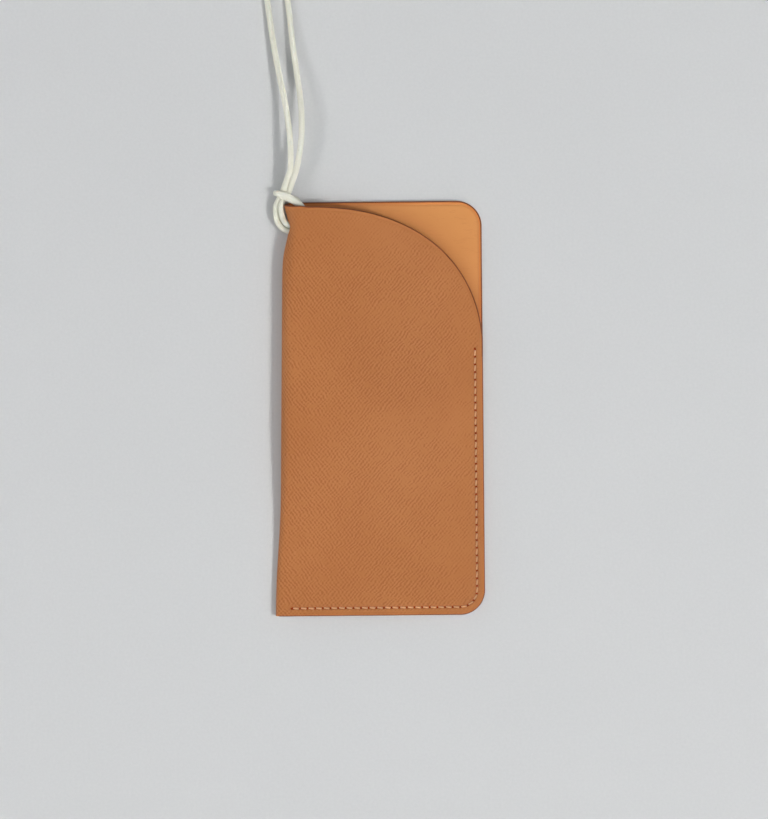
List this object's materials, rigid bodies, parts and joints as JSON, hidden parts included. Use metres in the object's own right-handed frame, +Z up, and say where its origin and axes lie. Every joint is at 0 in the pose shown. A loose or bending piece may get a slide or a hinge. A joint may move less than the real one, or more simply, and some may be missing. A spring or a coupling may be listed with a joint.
{
  "type": "phone sleeve with cord strap",
  "caption": "Flat folded leather phone sleeve with a curved mouth, saddle-stitched edge, leather lining and a round cord strap hitched to the fold.",
  "frame": {"origin": "centre of the case's footprint, on the surface that it lies on", "axes": "+Z up from the back panel to the front panel, +Y along the case towards the mouth, the fold on the -X side"},
  "size_m": [0.0914, 0.3046, 0.0096],
  "materials": {
    "grained_leather": "embossed grain, satin",
    "smooth_leather": "smooth, satin",
    "webbing": "plain weave, matt",
    "linen_thread": "waxed twist, satin",
    "cord": "smooth round cord, satin"
  },
  "bodies": {
    "case": {"outer_leather": "grained_leather", "lining_leather": "smooth_leather", "hole_reinforcement": "webbing", "seam_thread": "linen_thread", "cord_hitch": "cord"},
    "strap": {"cord_strand_left": "cord", "cord_strand_right": "cord", "cord_coil": "cord", "coil_tie": "grained_leather", "end_knot": "cord"}
  },
  "joints": [
    {"name": "strap_swing", "type": "hinge", "parent": "case", "child": "strap", "pos_m": [-0.0352, 0.0947, 0.0066], "axis": [0, 0, 1], "range_deg": [-85, 85]}
  ]
}
